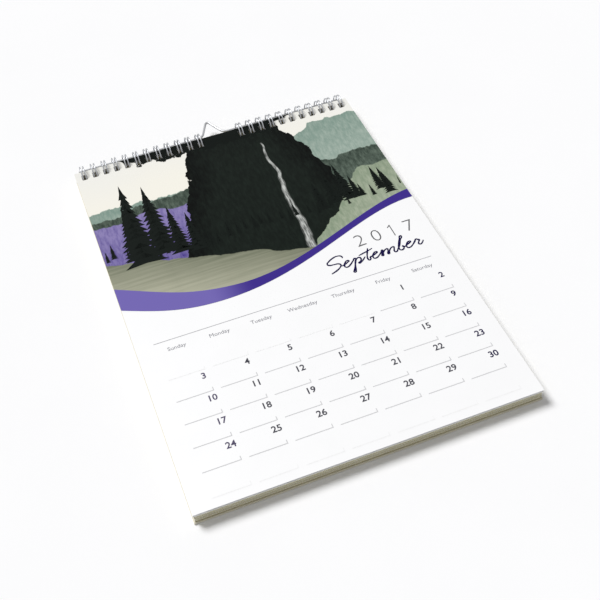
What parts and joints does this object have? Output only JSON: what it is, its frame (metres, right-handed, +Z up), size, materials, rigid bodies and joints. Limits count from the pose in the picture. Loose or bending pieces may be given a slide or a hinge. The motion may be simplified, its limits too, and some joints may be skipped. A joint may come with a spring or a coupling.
{
  "type": "wire-bound wall calendar",
  "caption": "Month-per-page wall calendar bound at its top edge by twin-loop wire, with a bent wire hanger and a stiff back board.",
  "frame": {"origin": "centre of the overall box, on the surface that the calendar lies on", "axes": "+X to the reader's right, +Y towards the bound edge and the hanger's hump, +Z up"},
  "size_m": [0.225, 0.3396, 0.0163],
  "materials": {
    "greyboard": "matt greyboard",
    "coming_sheets": "satin coated paper",
    "printed_sheet": "gloss coated paper, offset print",
    "loop_wire": "silver nylon coat on steel wire",
    "hanger_wire": "silver coat on steel wire"
  },
  "bodies": {
    "block_and_wires": {"back_board": "greyboard", "page_block": "coming_sheets", "wire_comb_left": "loop_wire", "wire_comb_right": "loop_wire"},
    "top_leaf": {"top_leaf": "printed_sheet"},
    "hanger": {"hanger": "hanger_wire"}
  },
  "joints": [
    {"name": "top_leaf_turn", "type": "hinge", "parent": "block_and_wires", "child": "top_leaf", "pos_m": [0, 0.14654, 0.00815], "axis": [-1, 0, 0], "range_deg": [0, 115]},
    {"name": "hanger_swing", "type": "hinge", "parent": "block_and_wires", "child": "hanger", "pos_m": [0, 0.15248, 0.00849], "axis": [1, 0, 0], "range_deg": [-25, 60]}
  ]
}
